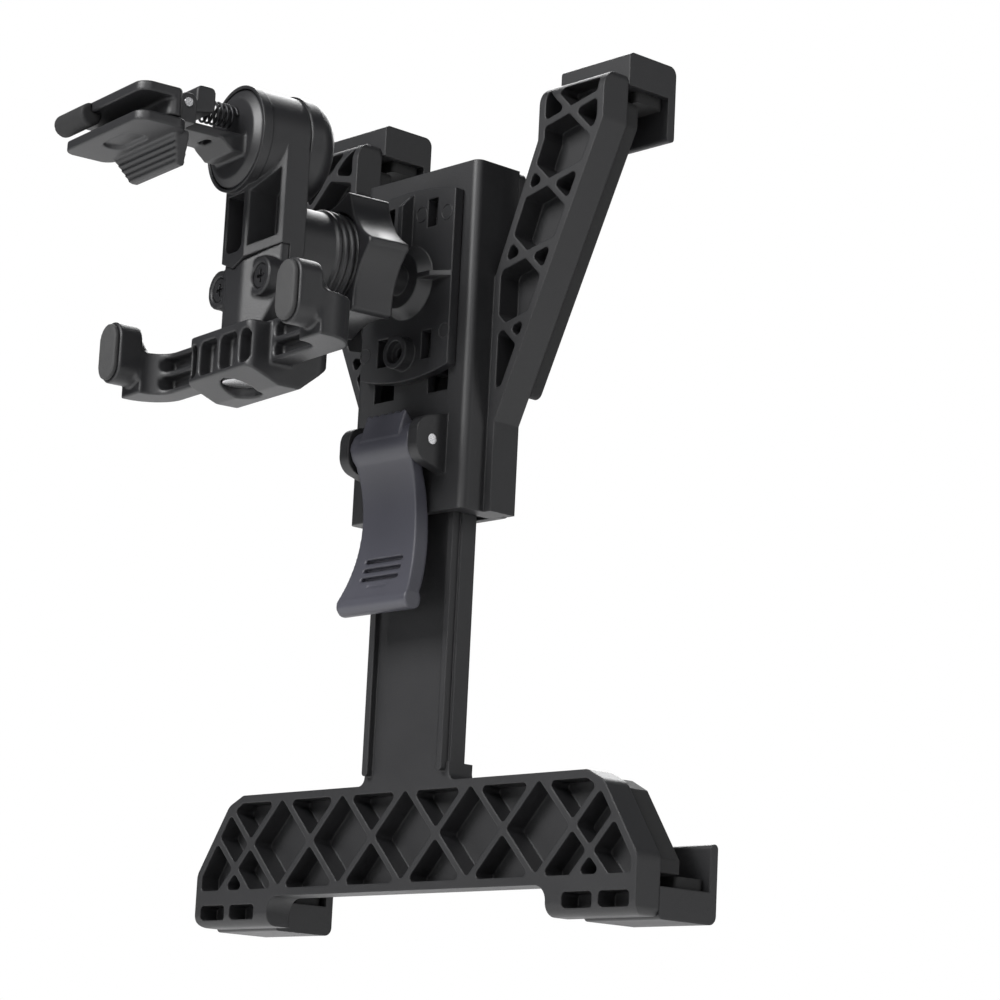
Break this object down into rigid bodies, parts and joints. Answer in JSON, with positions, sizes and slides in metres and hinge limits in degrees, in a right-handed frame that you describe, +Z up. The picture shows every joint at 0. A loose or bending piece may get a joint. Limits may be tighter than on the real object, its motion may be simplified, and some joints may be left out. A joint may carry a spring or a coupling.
{
  "type": "air vent tablet mount",
  "caption": "Tablet mount that clips on an air vent blade: sprung jaw clip, ball-jointed arm with support fork, and a lattice cradle with a sliding jaw and cam lock.",
  "frame": {"origin": "middle of the blade slot between the clip's two jaws", "axes": "+Z up, -Y into the vent, +X to the right seen from the vent"},
  "size_m": [0.147, 0.1259, 0.1908],
  "materials": {
    "charcoal_plastic": "fine moulded texture",
    "cap_plastic": "satin",
    "nut_plastic": "satin",
    "cradle_plastic": "fine moulded texture",
    "lever_plastic": "satin",
    "liner_plastic": "smooth",
    "black_rubber": "matt",
    "bright_steel": "turned",
    "dark_steel": "blackened"
  },
  "bodies": {
    "clip": {"clip_base": "charcoal_plastic", "jaw_pin": "bright_steel", "clip_spring": "dark_steel", "pivot_washer": "bright_steel", "pivot_screw": "bright_steel"},
    "upper_jaw": {"hook_jaw": "charcoal_plastic", "hook_sleeve": "black_rubber"},
    "arm": {"arm_body": "charcoal_plastic", "rear_cap": "cap_plastic", "lower_block": "charcoal_plastic", "block_screws": "dark_steel", "fork_pin": "bright_steel"},
    "fork": {"fork_foot": "charcoal_plastic", "fork_pad_left": "black_rubber", "fork_pad_right": "black_rubber"},
    "nut": {"clamp_nut": "nut_plastic"},
    "swivel": {"ball_liner_front": "liner_plastic"},
    "tilt": {"ball_liner_rear": "liner_plastic"},
    "plate": {"adapter_plate": "charcoal_plastic"},
    "cradle": {"cradle_body": "cradle_plastic", "housing_cover": "cradle_plastic", "cover_screws": "dark_steel", "pad_upper_left": "black_rubber", "pad_upper_right": "black_rubber", "clip_upper_left": "cradle_plastic", "clip_upper_right": "cradle_plastic", "liner_upper_left": "black_rubber", "liner_upper_right": "black_rubber", "lever_pin": "bright_steel"},
    "lever": {"cam_lever": "lever_plastic"},
    "shoe": {"brake_shoe": "cradle_plastic"},
    "slider": {"jaw_slider": "cradle_plastic", "pad_beam": "black_rubber", "clip_lower_left": "cradle_plastic", "clip_lower_right": "cradle_plastic", "liner_lower_left": "black_rubber", "liner_lower_right": "black_rubber"}
  },
  "joints": [
    {"name": "jaw_open", "type": "hinge", "parent": "clip", "child": "upper_jaw", "pos_m": [0, 0.0117, 0.0043], "axis": [-1, 0, 0], "range_deg": [0, 14], "stiffness_Nm_per_rad": 0.12, "springref_deg": -17.19, "deforming": ["clip_spring"]},
    {"name": "arm_turn", "type": "hinge", "parent": "clip", "child": "arm", "pos_m": [0, 0.0365, 0.0024], "axis": [0, 1, 0], "continuous": true},
    {"name": "fork_swivel", "type": "hinge", "parent": "arm", "child": "fork", "pos_m": [0, 0.035, -0.0451], "axis": [0, 0, 1], "range_deg": [-25, 25]},
    {"name": "nut_turn", "type": "hinge", "parent": "arm", "child": "nut", "pos_m": [0, 0.0605, -0.0201], "axis": [0, 1, 0], "continuous": true},
    {"name": "ball_swivel", "type": "hinge", "parent": "arm", "child": "swivel", "pos_m": [0, 0.0605, -0.0201], "axis": [0, 0, 1], "range_deg": [-27.3, 12.7]},
    {"name": "ball_tilt", "type": "hinge", "parent": "swivel", "child": "tilt", "pos_m": [0, 0.0605, -0.0201], "axis": [0.9919, 0.1271, 0], "range_deg": [-20, 20]},
    {"name": "ball_spin", "type": "hinge", "parent": "tilt", "child": "plate", "pos_m": [0, 0.0605, -0.0201], "axis": [-0.1271, 0.9919, 0], "continuous": true},
    {"name": "cradle_lift", "type": "slide", "parent": "plate", "child": "cradle", "axis": [0, 0, 1], "range_m": [0, 0.004]},
    {"name": "lever_open", "type": "hinge", "parent": "cradle", "child": "lever", "pos_m": [-0.00201, 0.07617, -0.0581], "axis": [-0.9919, -0.1271, 0], "range_deg": [0, 42]},
    {"name": "shoe_release", "type": "slide", "parent": "cradle", "child": "shoe", "axis": [0.1271, -0.9919, 0], "range_m": [0, 0.0003]},
    {"name": "slider_travel", "type": "slide", "parent": "cradle", "child": "slider", "axis": [0, 0, 1], "range_m": [-0.01, 0.05]}
  ],
  "couplings": [
    {"joint": "shoe_release", "follows": "lever_open", "m_per_rad": 0.00038}
  ]
}
